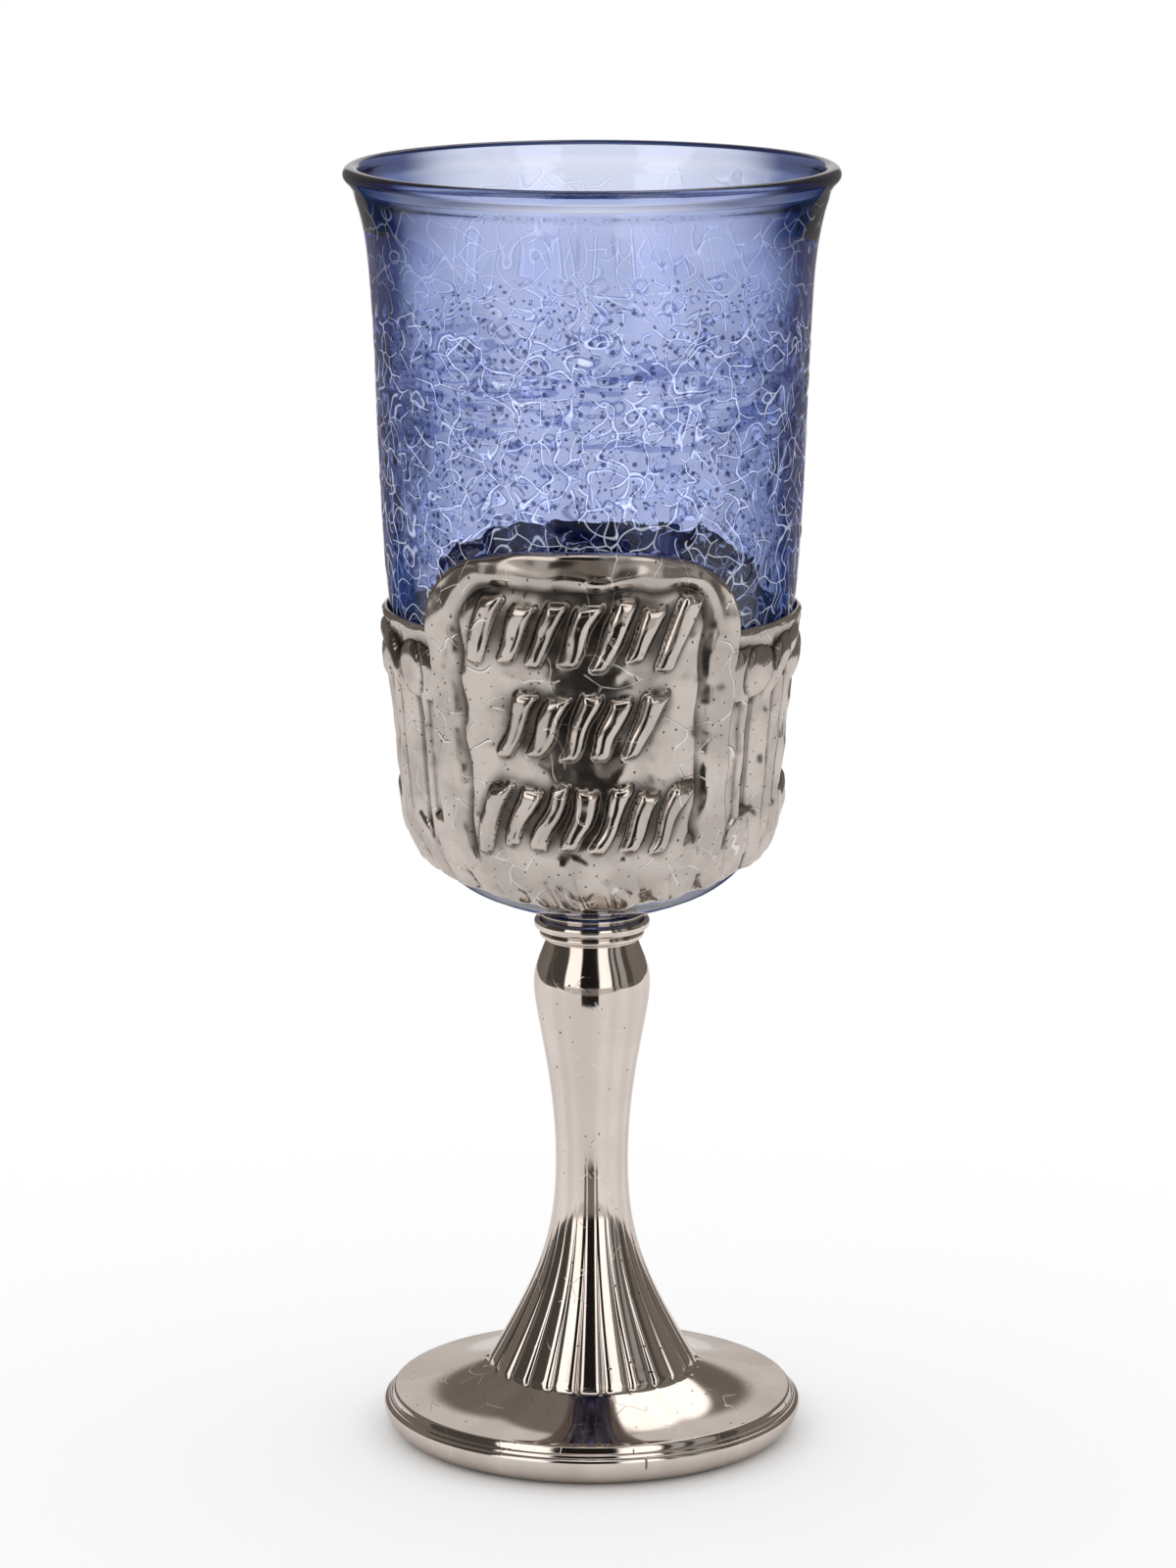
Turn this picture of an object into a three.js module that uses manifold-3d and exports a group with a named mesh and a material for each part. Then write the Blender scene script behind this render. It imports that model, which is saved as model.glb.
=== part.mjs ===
// Stemmed kiddush cup: a blown glass beaker held in a cast relief sleeve on a fluted stem.
// Millimetres, +Z up, the foot stands on Z = 0, and the sleeve's tablet faces -Y.

import * as THREE from 'three';
import { mergeVertices } from 'three/addons/utils/BufferGeometryUtils.js';
import Module from 'manifold-3d';

const wasm = await Module();
wasm.setup();

// ---- driving dimensions -------------------------------------------------------------

const mouthRadius = 35; // outside of the rolled rim
const rimTop = 184.7;
const rimTube = 1.2; // radius of the rolled rim
const glassWall = 2.2;
const glassBase = 77.1; // underside of the beaker
const gap = 0.3; // clearance between pieces that touch

const baseArc = 38.7; // radius of the beaker's shallow base curve
const cornerArc = 16.3; // radius of the curve between base and wall
const cornerR = 9.52; // centre of that curve
const cornerZ = 95.5;
const wallStart = 102; // the wall formula holds above this height

const sleeveWall = 0.6;
const sleeveLow = 82.5; // lower edge in the middle of the front and back
const sleeveLift = 4; // how much higher the lower edge is at the sides
const bandTop = 122.4; // top of the low band round the sides and back
const backTop = 129.5; // top of the low arch in the middle of the back
const backHalf = 60; // degrees from the middle of the back to the arch's foot
const tabletTop = 134.9;
const tabletHalf = 46.5; // degrees from the middle of the tablet to its side
const panelHalf = 37; // degrees to the inside of the tablet's frame
const panelLow = 89;
const frameWidth = 3; // of the border along the tablet's top
const frameRise = 0.55;

const columnAt = 70; // degrees round from the tablet's middle
const columnHalf = 12.5;
const columnRise = 0.9;
const filletAt = 54;
const filletHalf = 1.6;
const filletRise = 0.45;
const scrollZ = 116.2;

const strokeRise = 0.85;
const strokeWide = 2.3;

const flutes = 24;
const fluteTurn = 2.5; // degrees, puts one flute near the middle of the front
const fluteFoot = 0.6; // depth of the flutes where they meet the foot
const fluteStem = 0.02; // depth at the waist and the knop
const fluteEndZ = 10.2;
const fluteEndR = 15;
const waistR = 5.25;
const waistZ = 40;
const knopR = 8.4;
const knopZ = 66.8;
const beadR = 8.35;
const beadZ = 75.75;
const beadTube = 1.05;
const ringR = 6.95;
const ringZ = 74.15;
const ringTube = 0.6;
const footR = 30.4;
const footEdge = 3.9; // height of the widest line, and radius of the rounded lower edge
const plateauR = 28.85;
const plateauZ = 5.9;

const glassSegments = 42;
const stemSegments = 2 * flutes; // one line of points on each ridge and in each valley

// ---- small helpers ------------------------------------------------------------------

const radians = THREE.MathUtils.degToRad;
const point = (r, z) => new THREE.Vector2(r, z);

// Points on an arc about (r, z), by angles from the outward direction, upwards positive.
function arc(r, z, radius, from, to, steps) {
  return Array.from({ length: steps + 1 }, (_, i) => {
    const angle = radians(from + ((to - from) * i) / steps);
    return point(r + radius * Math.cos(angle), z + radius * Math.sin(angle));
  });
}

function bezier(corners, steps) {
  return new THREE.CubicBezierCurve(...corners.map((c) => point(...c))).getPoints(steps);
}

// Turns a profile of (radius, height) about the Z axis. A lathe turns about Y, so it is
// stood up afterwards, and its seam and its poles are welded.
function lathe(profile, segments) {
  const geometry = new THREE.LatheGeometry(profile, segments);
  geometry.rotateX(Math.PI / 2);
  return weld(geometry);
}

function weld(geometry) {
  geometry.deleteAttribute('normal');
  geometry.deleteAttribute('uv');
  const welded = mergeVertices(geometry, 1e-4);
  const at = welded.getAttribute('position');
  const index = welded.getIndex();
  const kept = [];
  for (let i = 0; i < index.count; i += 3) {
    const [a, b, c] = [index.getX(i), index.getX(i + 1), index.getX(i + 2)];
    if (a !== b && b !== c && c !== a) kept.push(a, b, c);
  }
  const solid = new THREE.BufferGeometry();
  solid.setAttribute('position', at);
  solid.setIndex(kept);
  return solid;
}

function toManifold(geometry) {
  const mesh = new wasm.Mesh({
    numProp: 3,
    vertProperties: Float32Array.from(geometry.getAttribute('position').array),
    triVerts: Uint32Array.from(geometry.getIndex().array),
  });
  return new wasm.Manifold(mesh);
}

function fromManifold(solid) {
  const mesh = solid.getMesh();
  const geometry = new THREE.BufferGeometry();
  geometry.setAttribute('position', new THREE.BufferAttribute(mesh.vertProperties, 3));
  geometry.setIndex(new THREE.BufferAttribute(mesh.triVerts, 1));
  return geometry;
}

// Azimuth 0 is the front, -Y, and positive azimuths go round towards +X.
function onBowl(radius, azimuth, z) {
  const angle = radians(azimuth);
  return new THREE.Vector3(radius * Math.sin(angle), -radius * Math.cos(angle), z);
}

// ---- the beaker's outline, which the sleeve and the seat follow ---------------------

// Outside radius of the beaker's wall: a slow taper, a swelling above the sleeve and a
// lip that opens towards the rim.
function wallRadius(z) {
  const taper = 28.18 + 0.0348 * (z - 120);
  const swelling = 1.21 * Math.tanh((z - 115.9) / 12.8);
  const lip = 2.53 * Math.exp((z - 182) / 5.78);
  return taper + swelling + lip;
}

const baseMid = glassBase + baseArc; // height of the base arc's centre
const jointTurn = Math.atan2(baseMid - cornerZ, cornerR); // where the arcs meet
const jointZ = cornerZ - cornerArc * Math.sin(jointTurn);

// Height of the round base at a radius inside the corner curve.
function baseHeight(r) {
  return baseMid - Math.sqrt(baseArc ** 2 - r ** 2);
}

// Outside radius of the whole beaker at a height.
function bowlRadius(z) {
  if (z >= wallStart) return wallRadius(z);
  if (z < jointZ) return Math.sqrt(Math.max(baseArc ** 2 - (baseMid - z) ** 2, 0));
  const cornerTop = cornerZ - 1.6;
  if (z > cornerTop) {
    const t = (z - cornerTop) / (wallStart - cornerTop);
    return THREE.MathUtils.lerp(cornerRadius(cornerTop), wallRadius(wallStart), t);
  }
  return cornerRadius(z);
}

function cornerRadius(z) {
  return cornerR + Math.sqrt(Math.max(cornerArc ** 2 - (z - cornerZ) ** 2, 0));
}

// The beaker's outside, moved out by a distance square to its surface, at a height.
function bowlPoint(z, out) {
  const step = 0.05;
  const slope = (bowlRadius(z + step) - bowlRadius(z - step)) / (2 * step);
  const length = Math.hypot(1, slope);
  return point(bowlRadius(z) + out / length, z - (out * slope) / length);
}

// ---- glass beaker -------------------------------------------------------------------

function glassCup() {
  const rimR = mouthRadius - rimTube;
  const rimZ = rimTop - rimTube;
  const jointAngle = -THREE.MathUtils.radToDeg(jointTurn);
  const baseRadii = [0, 9];
  const outsideZ = [98, 106, 114, 122, 134, 150, 165, 174, 179.5];
  const outside = [
    ...baseRadii.map((r) => point(r, baseHeight(r))),
    ...arc(cornerR, cornerZ, cornerArc, jointAngle, -6, 4),
    ...outsideZ.map((z) => point(bowlRadius(z), z)),
    ...arc(rimR, rimZ, rimTube, -50, 150, 4),
  ];
  const insideZ = [181, 175, 166, 140, 122, 106, 97];
  const inside = [
    ...insideZ.map((z) => point(bowlRadius(z) - glassWall, z)),
    ...arc(cornerR, cornerZ, cornerArc - glassWall, -12, jointAngle, 3),
    point(0, glassBase + glassWall),
  ];
  return lathe([...outside, ...inside], glassSegments);
}

// ---- relief sleeve ------------------------------------------------------------------

const isBetween = (value, low, high) => value >= low && value <= high;

// A half-round bar along the bowl: full height in its middle, nothing at its edges.
function bar(distance, half, rise) {
  const share = Math.min(Math.abs(distance) / half, 1);
  return rise * Math.sqrt(1 - share ** 2);
}

// An arch's height above the band: an outline with round shoulders, flat in its middle.
function arch(away, half, height, roundness) {
  return away < half ? height * Math.sqrt(1 - (away / half) ** roundness) : 0;
}

// Top edge of the sleeve: the tablet's round-cornered outline in front, a level band at
// the sides and a lower, wider arch at the back.
function topEdge(azimuth) {
  const away = Math.abs(azimuth);
  const front = arch(away, tabletHalf, tabletTop - bandTop, 3.2);
  const back = arch(180 - away, backHalf, backTop - bandTop, 2.6);
  return bandTop + front + back;
}

function lowerEdge(azimuth) {
  return sleeveLow + sleeveLift * Math.sin(radians(azimuth)) ** 2;
}

// How far the carving stands proud of the sleeve's plain surface.
function relief(azimuth, z) {
  const away = Math.abs(azimuth);
  const petals = z < panelLow ? 0.35 * Math.abs(Math.cos(radians(azimuth * 9))) : 0;
  if (away <= tabletHalf) {
    const inFrame = away >= panelHalf || z > topEdge(azimuth) - frameWidth;
    return z < panelLow ? petals : inFrame ? frameRise : 0;
  }
  const shaft = isBetween(z, panelLow, scrollZ);
  if (!shaft) return petals;
  const side = away > 90 ? 180 - away : away;
  return bar(side - columnAt, columnHalf, columnRise) + bar(side - filletAt, filletHalf, filletRise);
}

// Heights from the lower edge to the top edge, closer together round the bowl's corner.
function heights(azimuth, rows) {
  const low = lowerEdge(azimuth);
  const high = topEdge(azimuth);
  return Array.from({ length: rows }, (_, i) => low + (high - low) * (i / (rows - 1)) ** 1.6);
}

// The sleeve's section at one azimuth, once round: up the carved face, down the inside.
function sleeveSection(azimuth, faceRows, backRows) {
  const face = heights(azimuth, faceRows).map((z) => {
    const p = bowlPoint(z, gap + sleeveWall + relief(azimuth, z));
    return onBowl(p.x, azimuth, p.y);
  });
  const back = heights(azimuth, backRows).map((z) => {
    const p = bowlPoint(z, gap);
    return onBowl(p.x, azimuth, p.y);
  });
  return [...face, ...back.reverse()];
}

// Joins closed sections, each standing at its own azimuth, into one ring-shaped body.
function ringBody(sections) {
  const rows = sections[0].length;
  const position = sections.flat().flatMap((p) => [p.x, p.y, p.z]);
  const index = [];
  sections.forEach((_, column) => {
    const next = (column + 1) % sections.length;
    for (let row = 0; row < rows; row += 1) {
      const up = (row + 1) % rows;
      const a = column * rows + row;
      const b = next * rows + row;
      const c = next * rows + up;
      const d = column * rows + up;
      index.push(a, b, c, a, c, d);
    }
  });
  const geometry = new THREE.BufferGeometry();
  geometry.setAttribute('position', new THREE.Float32BufferAttribute(position, 3));
  geometry.setIndex(index);
  return geometry;
}

// Azimuths of the sleeve's sections on one side: close together where the relief has
// edges and wide apart where it is plain.
function sleeveAzimuths() {
  const half = [
    8, 16, 24, 31, panelHalf - 0.5, panelHalf + 0.5, 42, tabletHalf - 0.8, tabletHalf + 0.2,
    filletAt - filletHalf, filletAt, filletAt + filletHalf,
    ...[-1, -0.8, -0.3, 0.3, 0.8, 1].map((t) => columnAt + t * columnHalf),
    90,
    ...[-1, -0.8, 0, 0.8, 1].map((t) => 180 - columnAt + t * columnHalf),
    180 - filletAt - filletHalf, 180 - filletAt, 180 - filletAt + filletHalf,
    180 - backHalf - 0.3, 180 - backHalf + 0.7, 135, 144, 153, 162, 171,
  ];
  const ordered = half.sort((a, b) => a - b);
  return [0, ...ordered, 180, ...ordered.map((a) => -a).reverse()];
}

// A block laid on the bowl's surface, turned in its plane, its inner face in the wall.
function stroke(azimuth, z, wide, tall, tilt) {
  const sunk = 0.35;
  const block = new THREE.BoxGeometry(wide, strokeRise + sunk, tall);
  const shear = Math.tan(radians(tilt));
  const at = block.getAttribute('position');
  for (let i = 0; i < at.count; i += 1) at.setX(i, at.getX(i) + at.getZ(i) * shear);
  return layOnBowl(block, azimuth, z, gap + sleeveWall - sunk / 2 + strokeRise / 2);
}

// Moves a shape built about the origin, facing -Y, onto the bowl, leaning with its wall.
function layOnBowl(shape, azimuth, z, out) {
  const low = bowlPoint(z - 1, 0);
  const high = bowlPoint(z + 1, 0);
  const p = bowlPoint(z, out);
  shape.rotateX(Math.atan2(high.x - low.x, high.y - low.y));
  shape.translate(0, -p.x, p.y);
  shape.rotateZ(radians(azimuth));
  return weld(shape);
}

// Three rows of shallow strokes on the tablet, all slanted alike, every second one a
// little shorter. They stand where an inscription would and spell nothing.
function strokes() {
  const rows = [
    { z: 123.4, count: 7 },
    { z: 110.2, count: 5 },
    { z: 96.8, count: 7 },
  ];
  const slant = 22;
  const tall = [9.4, 8];
  const pitch = 4.5;
  const made = [];
  for (const { z, count } of rows) {
    const perMm = 180 / (Math.PI * bowlRadius(z));
    for (let i = 0; i < count; i += 1) {
      const x = (i - (count - 1) / 2) * pitch;
      made.push(stroke(x * perMm, z, strokeWide, tall[i % 2], slant));
    }
  }
  return made;
}

// One side's capital: two round scrolls with a slanted fold between them.
function capital(side) {
  const lobes = [
    { azimuth: 53.5, z: scrollZ - 0.6, wide: 5.8, tall: 3.7 },
    { azimuth: 79, z: scrollZ + 0.8, wide: 5.6, tall: 3.9 },
  ];
  const proud = 1.5;
  const made = lobes.map(({ azimuth, z, wide, tall }) => {
    const lobe = new THREE.SphereGeometry(1, 10, 6);
    lobe.scale(wide, proud, tall);
    return layOnBowl(lobe, side * azimuth, z, gap + sleeveWall);
  });
  const fold = new THREE.SphereGeometry(1, 10, 6);
  fold.scale(1.7, proud, 5);
  fold.rotateY(radians(side * 38));
  made.push(layOnBowl(fold, side * 66, scrollZ, gap + sleeveWall));
  return made;
}

// The scrolls and strokes are sunk in the wall, and what would reach the beaker is cut
// away with the beaker's own shape, grown by the gap.
function beakerSpace() {
  const heights = Array.from({ length: 14 }, (_, i) => 81 + i * 4.25);
  const inset = 0.02; // keeps the cut just inside the sleeve's wall
  const outline = heights.map((z) => bowlPoint(z, gap + inset));
  const bottom = outline[0].y;
  const top = outline[outline.length - 1].y;
  return lathe([point(0, bottom), ...outline, point(0, top)], 120);
}

function silverSleeve() {
  const faceRows = 12;
  const backRows = 11;
  const sections = sleeveAzimuths().map((a) => sleeveSection(a, faceRows, backRows));
  const shell = toManifold(ringBody(sections));
  const details = [...strokes(), ...capital(1), ...capital(-1)].map(toManifold);
  const carving = wasm.Manifold.union(details).subtract(toManifold(beakerSpace()));
  return fromManifold(shell.add(carving));
}

// ---- stem and foot ------------------------------------------------------------------

function stemProfile() {
  const beadMid = beadR - beadTube;
  const ringMid = ringR - ringTube;
  const edgeMid = footR - footEdge;
  const flareEnd = [fluteEndR, fluteEndZ];
  const seat = [0, 4, 7].map((r) => point(r, baseHeight(r) - gap));
  return [
    point(0, 0),
    ...arc(edgeMid, footEdge, footEdge, -90, 0, 3),
    point(footR - 0.15, footEdge + 0.5), // outer ring
    point(footR - 0.7, footEdge + 0.75),
    point(plateauR + 0.45, plateauZ - 1), // small bead between two grooves
    point(plateauR + 0.2, plateauZ - 0.25),
    point(plateauR, plateauZ), // edge of the dished top
    point(22, 7.3),
    point(fluteEndR + 0.5, 9.5),
    ...bezier([flareEnd, [8.2, 22], [waistR, 28], [waistR, waistZ]], 6),
    ...bezier([[waistR, waistZ], [waistR, 53], [knopR, 62], [knopR, knopZ]], 4).slice(1),
    ...bezier([[knopR, knopZ], [knopR, 69.6], [7, 71.8], [6.6, 73.4]], 3).slice(1),
    ...arc(ringMid, ringZ, ringTube, -50, 40, 2),
    ...arc(beadMid, beadZ, beadTube, -50, 70, 3),
    ...seat.reverse(),
  ];
}

// Depth of the flutes at a height: deepest at the foot, faint from the waist up.
function fluteDepth(z) {
  if (z < fluteEndZ - 0.1 || z > ringZ - ringTube) return 0;
  const fall = Math.exp(-(z - fluteEndZ) / 8);
  return fluteStem + (fluteFoot - fluteStem) * fall;
}

function stemAndFoot() {
  const solid = lathe(stemProfile(), stemSegments);
  solid.rotateZ(radians(fluteTurn) + Math.PI / flutes - Math.PI / 2);
  const at = solid.getAttribute('position');
  for (let i = 0; i < at.count; i += 1) {
    const [x, y, z] = [at.getX(i), at.getY(i), at.getZ(i)];
    const turn = (Math.atan2(x, -y) - radians(fluteTurn)) / (2 * Math.PI);
    const across = THREE.MathUtils.euclideanModulo(turn * flutes, 1) - 0.5;
    const hollow = fluteDepth(z) * (4 * across ** 2 - 1) ** 2;
    const r = Math.hypot(x, y) || 1;
    const scale = 1 - hollow / r;
    at.setXY(i, x * scale, y * scale);
  }
  return solid;
}

// ---- the cup ------------------------------------------------------------------------

const blueGlass = new THREE.MeshStandardMaterial({
  color: 0x5a76c4,
  roughness: 0.05,
  metalness: 0,
  transparent: true,
  opacity: 0.5,
});
const silver = new THREE.MeshStandardMaterial({
  color: 0xcdc5be,
  roughness: 0.16,
  metalness: 1,
});

function named(name, geometry, material) {
  geometry.computeVertexNormals();
  const mesh = new THREE.Mesh(geometry, material);
  mesh.name = name;
  return mesh;
}

const kiddushCup = new THREE.Group();
kiddushCup.add(named('glass_cup', glassCup(), blueGlass));
kiddushCup.add(named('silver_sleeve', silverSleeve(), silver));
kiddushCup.add(named('stem_and_foot', stemAndFoot(), silver));

export default kiddushCup;
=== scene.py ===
import bpy
import math
import numpy as np
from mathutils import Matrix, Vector


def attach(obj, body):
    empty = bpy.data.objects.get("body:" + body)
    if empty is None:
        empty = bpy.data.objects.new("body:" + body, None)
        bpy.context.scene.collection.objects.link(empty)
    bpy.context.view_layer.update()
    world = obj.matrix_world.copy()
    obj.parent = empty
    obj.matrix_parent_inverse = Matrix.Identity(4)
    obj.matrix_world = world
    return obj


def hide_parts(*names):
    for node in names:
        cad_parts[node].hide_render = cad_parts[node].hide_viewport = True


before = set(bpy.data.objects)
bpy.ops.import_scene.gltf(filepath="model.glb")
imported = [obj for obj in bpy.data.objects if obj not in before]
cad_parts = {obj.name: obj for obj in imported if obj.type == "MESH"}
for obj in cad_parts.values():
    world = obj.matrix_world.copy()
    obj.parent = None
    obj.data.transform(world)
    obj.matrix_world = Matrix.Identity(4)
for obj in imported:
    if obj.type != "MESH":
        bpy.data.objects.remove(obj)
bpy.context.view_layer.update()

# A stemmed kiddush cup: a blown crackle-glass beaker in a cast relief sleeve, on a fluted
# stem and a dished foot. Shapes are worked out in millimetres, with azimuth 0 at the
# front (-Y) and growing towards +X, and put into the meshes in metres.

MM = 0.001

# ---- measures: the beaker's, sleeve's and foot's outlines are the frame's own ---------

GLASS_BASE = 77.1  # lowest point of the beaker
GLASS_WALL = 2.2
BASE_ARC = 38.7  # radius of the rounded underside
CORNER_ARC, CORNER_R, CORNER_Z = 16.3, 9.52, 95.5  # curve from base to wall, and its centre
WALL_START = 102.0
WALL_R, WALL_MID, WALL_TAPER = 28.18, 120.0, 0.0348  # radius half way up, and its growth
SWELLING, SWELLING_Z, SWELLING_SPAN = 1.21, 115.9, 12.8
LIP_FLARE, LIP_Z, LIP_SPAN = 2.53, 182.0, 5.78
RIM_R, RIM_Z, RIM_TUBE = 33.8, 183.5, 1.2  # centre and radius of the rolled rim
BLISTERS = 110
INSIDE_SKIN = 300.0  # added to the inside's map, so that the outside's marks stay off it

GAP = 0.3  # between the beaker and the sleeve
SLEEVE_WALL = 0.6
SLEEVE_LOW, SLEEVE_LIFT = 82.5, 4.0  # lower edge in front, and its rise at the sides
BAND_TOP = 122.4
TABLET_TOP, TABLET_HALF = 134.9, 46.5  # height in millimetres, half width in degrees
BACK_TOP, BACK_HALF = 129.5, 60.0
SLEEVE_R = 29.5  # radius used to turn azimuths into lengths on the sleeve
PANEL_Z, PANEL_HALF_X, PANEL_HALF_Z, PANEL_CORNER = 108.1, 17.9, 21.3, 5.0
DASH_ROWS = ((123.4, 7), (110.2, 5), (96.8, 7))  # height of each row and its number of dashes
DASH_PITCH, DASH_HALF_WIDE, DASH_LONG, DASH_SHORT = 4.5, 1.38, 4.9, 4.2
COLUMN_AT = 67.5  # degrees round from the tablet's middle
COLUMN_HALF, COLUMN_RISE, COLUMN_RIB = 6.3, 0.85, 3.3
SCROLL_Z = 115.8
PETALS = 18

FLUTES, FLUTE_TURN, FLUTE_DEPTH, FLUTE_FADE = 24, 2.5, 0.62, 10.0
FLUTE_END_R, FLUTE_END_Z = 15.0, 10.2  # where the flutes meet the foot's disc
FOOT_R, FOOT_EDGE = 30.4, 3.9  # radius of the foot, and of its rounded edge


# ---- numeric helpers -----------------------------------------------------------------

RIPPLE_WAVES = 56


def smooth(value, low, high):
    """Smooth step: 0 below low, 1 above high, 3t^2 - 2t^3 between; low may exceed high."""
    t = np.clip((value - low) / (high - low), 0.0, 1.0)
    return t * t * (3.0 - 2.0 * t)


def ripples(azimuth, height, wavelength, seed, stretch=1.0):
    """Smooth random field that closes round the axis: the sum of cosines
    cos(m a + q z + phase), m whole, of wavelengths near the given one, scaled to a
    spread of 1. A stretch above 1 draws the waves out round the cup."""
    draw = np.random.default_rng(seed)
    turns = draw.uniform(0, 2 * math.pi, RIPPLE_WAVES)
    lengths = wavelength * draw.uniform(0.75, 1.35, RIPPLE_WAVES)
    phases = draw.uniform(0, 2 * math.pi, RIPPLE_WAVES)
    field = np.zeros(np.broadcast(azimuth, height).shape)
    for turn, length, phase in zip(turns, lengths, phases):
        whole = round(SLEEVE_R * 2 * math.pi / length * math.cos(turn) / stretch)
        upward = 2 * math.pi / length * math.sin(turn)
        field += np.cos(whole * azimuth + upward * height + phase)
    return field / math.sqrt(RIPPLE_WAVES / 2)


def arc(r, z, radius, start, stop, steps):
    """Points (r, z) on a circle about (r, z), angles in degrees from outwards, up positive."""
    angle = np.radians(np.linspace(start, stop, steps))
    return np.stack([r + radius * np.cos(angle), z + radius * np.sin(angle)], -1)


def bezier(corners, steps):
    """Cubic Bezier curve: the Bernstein sum of four corners."""
    t = np.linspace(0, 1, steps)[:, None]
    a, b, c, d = np.array(corners, float)
    return a * (1 - t) ** 3 + 3 * b * t * (1 - t) ** 2 + 3 * c * t ** 2 * (1 - t) + d * t ** 3


def round_box(x, z, half_x, half_z, corner):
    """Signed distance to a rectangle with round corners, negative inside."""
    qx = np.abs(x) - half_x + corner
    qz = np.abs(z) - half_z + corner
    outside = np.hypot(np.maximum(qx, 0), np.maximum(qz, 0))
    return outside + np.minimum(np.maximum(qx, qz), 0) - corner


def pillow(depth, reach):
    """Quarter-round rise from 0 at an outline to 1 at `reach` inside it."""
    t = np.clip(depth / reach, 0.0, 1.0)
    return np.sqrt(1.0 - (1.0 - t) ** 2)


# ---- the beaker's outline ------------------------------------------------------------

def wall_radius(z):
    """Outside of the beaker's wall: a slow taper, a swelling (tanh) above the sleeve and
    a lip (exp) that opens towards the rim."""
    swelling = SWELLING * np.tanh((z - SWELLING_Z) / SWELLING_SPAN)
    lip = LIP_FLARE * np.exp((z - LIP_Z) / LIP_SPAN)
    return WALL_R + WALL_TAPER * (z - WALL_MID) + swelling + lip


def corner_radius(z):
    """Outside of the curve between base and wall: a circle about (CORNER_R, CORNER_Z)."""
    return CORNER_R + np.sqrt(np.maximum(CORNER_ARC ** 2 - (z - CORNER_Z) ** 2, 0))


def base_height(r):
    """Underside of the beaker: a shallow cap of radius BASE_ARC standing on GLASS_BASE."""
    return GLASS_BASE + BASE_ARC - np.sqrt(BASE_ARC ** 2 - r ** 2)


BASE_MID = GLASS_BASE + BASE_ARC
JOINT = math.atan2(BASE_MID - CORNER_Z, CORNER_R)  # where base cap and corner circle meet
JOINT_Z = CORNER_Z - CORNER_ARC * math.sin(JOINT)


def bowl_radius(z):
    """Outside radius of the whole beaker at a height: base cap, corner circle, straight
    blend, wall."""
    top = CORNER_Z - 1.6
    t = np.clip((z - top) / (WALL_START - top), 0, 1)
    blend = corner_radius(top) * (1 - t) + wall_radius(WALL_START) * t
    cap = np.sqrt(np.maximum(BASE_ARC ** 2 - (BASE_MID - z) ** 2, 0))
    low = np.where(z < JOINT_Z, cap, corner_radius(z))
    return np.where(z >= WALL_START, wall_radius(z), np.where(z > top, blend, low))


PATH_Z = np.linspace(GLASS_BASE, 137.0, 3000)
PATH = np.concatenate([[0], np.cumsum(np.hypot(np.diff(PATH_Z), np.diff(bowl_radius(PATH_Z))))])


def path(z):
    """Length of the outline from the beaker's lowest point up to a height."""
    return np.interp(z, PATH_Z, PATH)


def bowl_point(z, out):
    """The outline moved out by `out` square to itself: (radius, height)."""
    slope = (bowl_radius(z + 0.05) - bowl_radius(z - 0.05)) / 0.1
    length = np.hypot(1, slope)
    return bowl_radius(z) + out / length, z - out * slope / length


# ---- meshes --------------------------------------------------------------------------

def around(radius, height, azimuth):
    """Points at radius, height and azimuth (radians, from -Y towards +X)."""
    radius, height, azimuth = np.broadcast_arrays(radius, height, azimuth)
    return np.stack([radius * np.sin(azimuth), -radius * np.cos(azimuth), height], -1)


def ring_mesh(name, rings, skin, poles=None, **values):
    """Mesh of rings of points joined ring to ring by four-sided faces. With poles, the
    heights of two points on the axis, fans close the first and last ring; without, the
    last ring joins the first. skin holds the surface's own coordinates in millimetres,
    one column more than the rings have, so that they run on over the seam; values are
    numbers kept at the points under their names."""
    rows, columns, _ = rings.shape
    points = rings.reshape(-1, 3)
    joined = rows if poles is None else rows - 1
    row, column = np.meshgrid(np.arange(joined), np.arange(columns), indexing="ij")
    after = (column + 1) % columns
    above = (row + 1) % rows
    quads = np.stack([row * columns + column, row * columns + after,
                      above * columns + after, above * columns + column], -1)
    flat = np.stack([skin[row, column], skin[row, column + 1],
                     skin[above, column + 1], skin[above, column]], 2).reshape(-1, 2)
    faces = quads.reshape(-1, 4).tolist()
    if poles is not None:
        low, high = len(points), len(points) + 1
        points = np.vstack([points, [[0, 0, poles[0]], [0, 0, poles[1]]]])
        edge = np.arange(columns)
        after = (edge + 1) % columns
        last = (rows - 1) * columns
        faces += np.stack([after, edge, np.full(columns, low)], -1).tolist()
        faces += np.stack([last + edge, last + after, np.full(columns, high)], -1).tolist()
        low_fan = np.stack([skin[0, edge + 1], skin[0, edge], skin[0, edge]], 1)
        high_fan = np.stack([skin[-1, edge], skin[-1, edge + 1], skin[-1, edge]], 1)
        flat = np.concatenate([flat, low_fan.reshape(-1, 2), high_fan.reshape(-1, 2)])
    mesh = bpy.data.meshes.new(name)
    mesh.from_pydata((points * MM).tolist(), [], faces)
    mesh.polygons.foreach_set("use_smooth", np.ones(len(faces), bool))
    mesh.uv_layers.new(name="skin").uv.foreach_set("vector", (flat * MM).astype(np.float32).ravel())
    for key, value in values.items():
        kept = np.zeros(len(points), np.float32)
        kept[:rows * columns] = np.broadcast_to(value, (rows, columns)).ravel()
        mesh.attributes.new(key, "FLOAT", "POINT").data.foreach_set("value", kept)
    mesh.update()
    piece = bpy.data.objects.new(name, mesh)
    bpy.context.scene.collection.objects.link(piece)
    return piece


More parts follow.
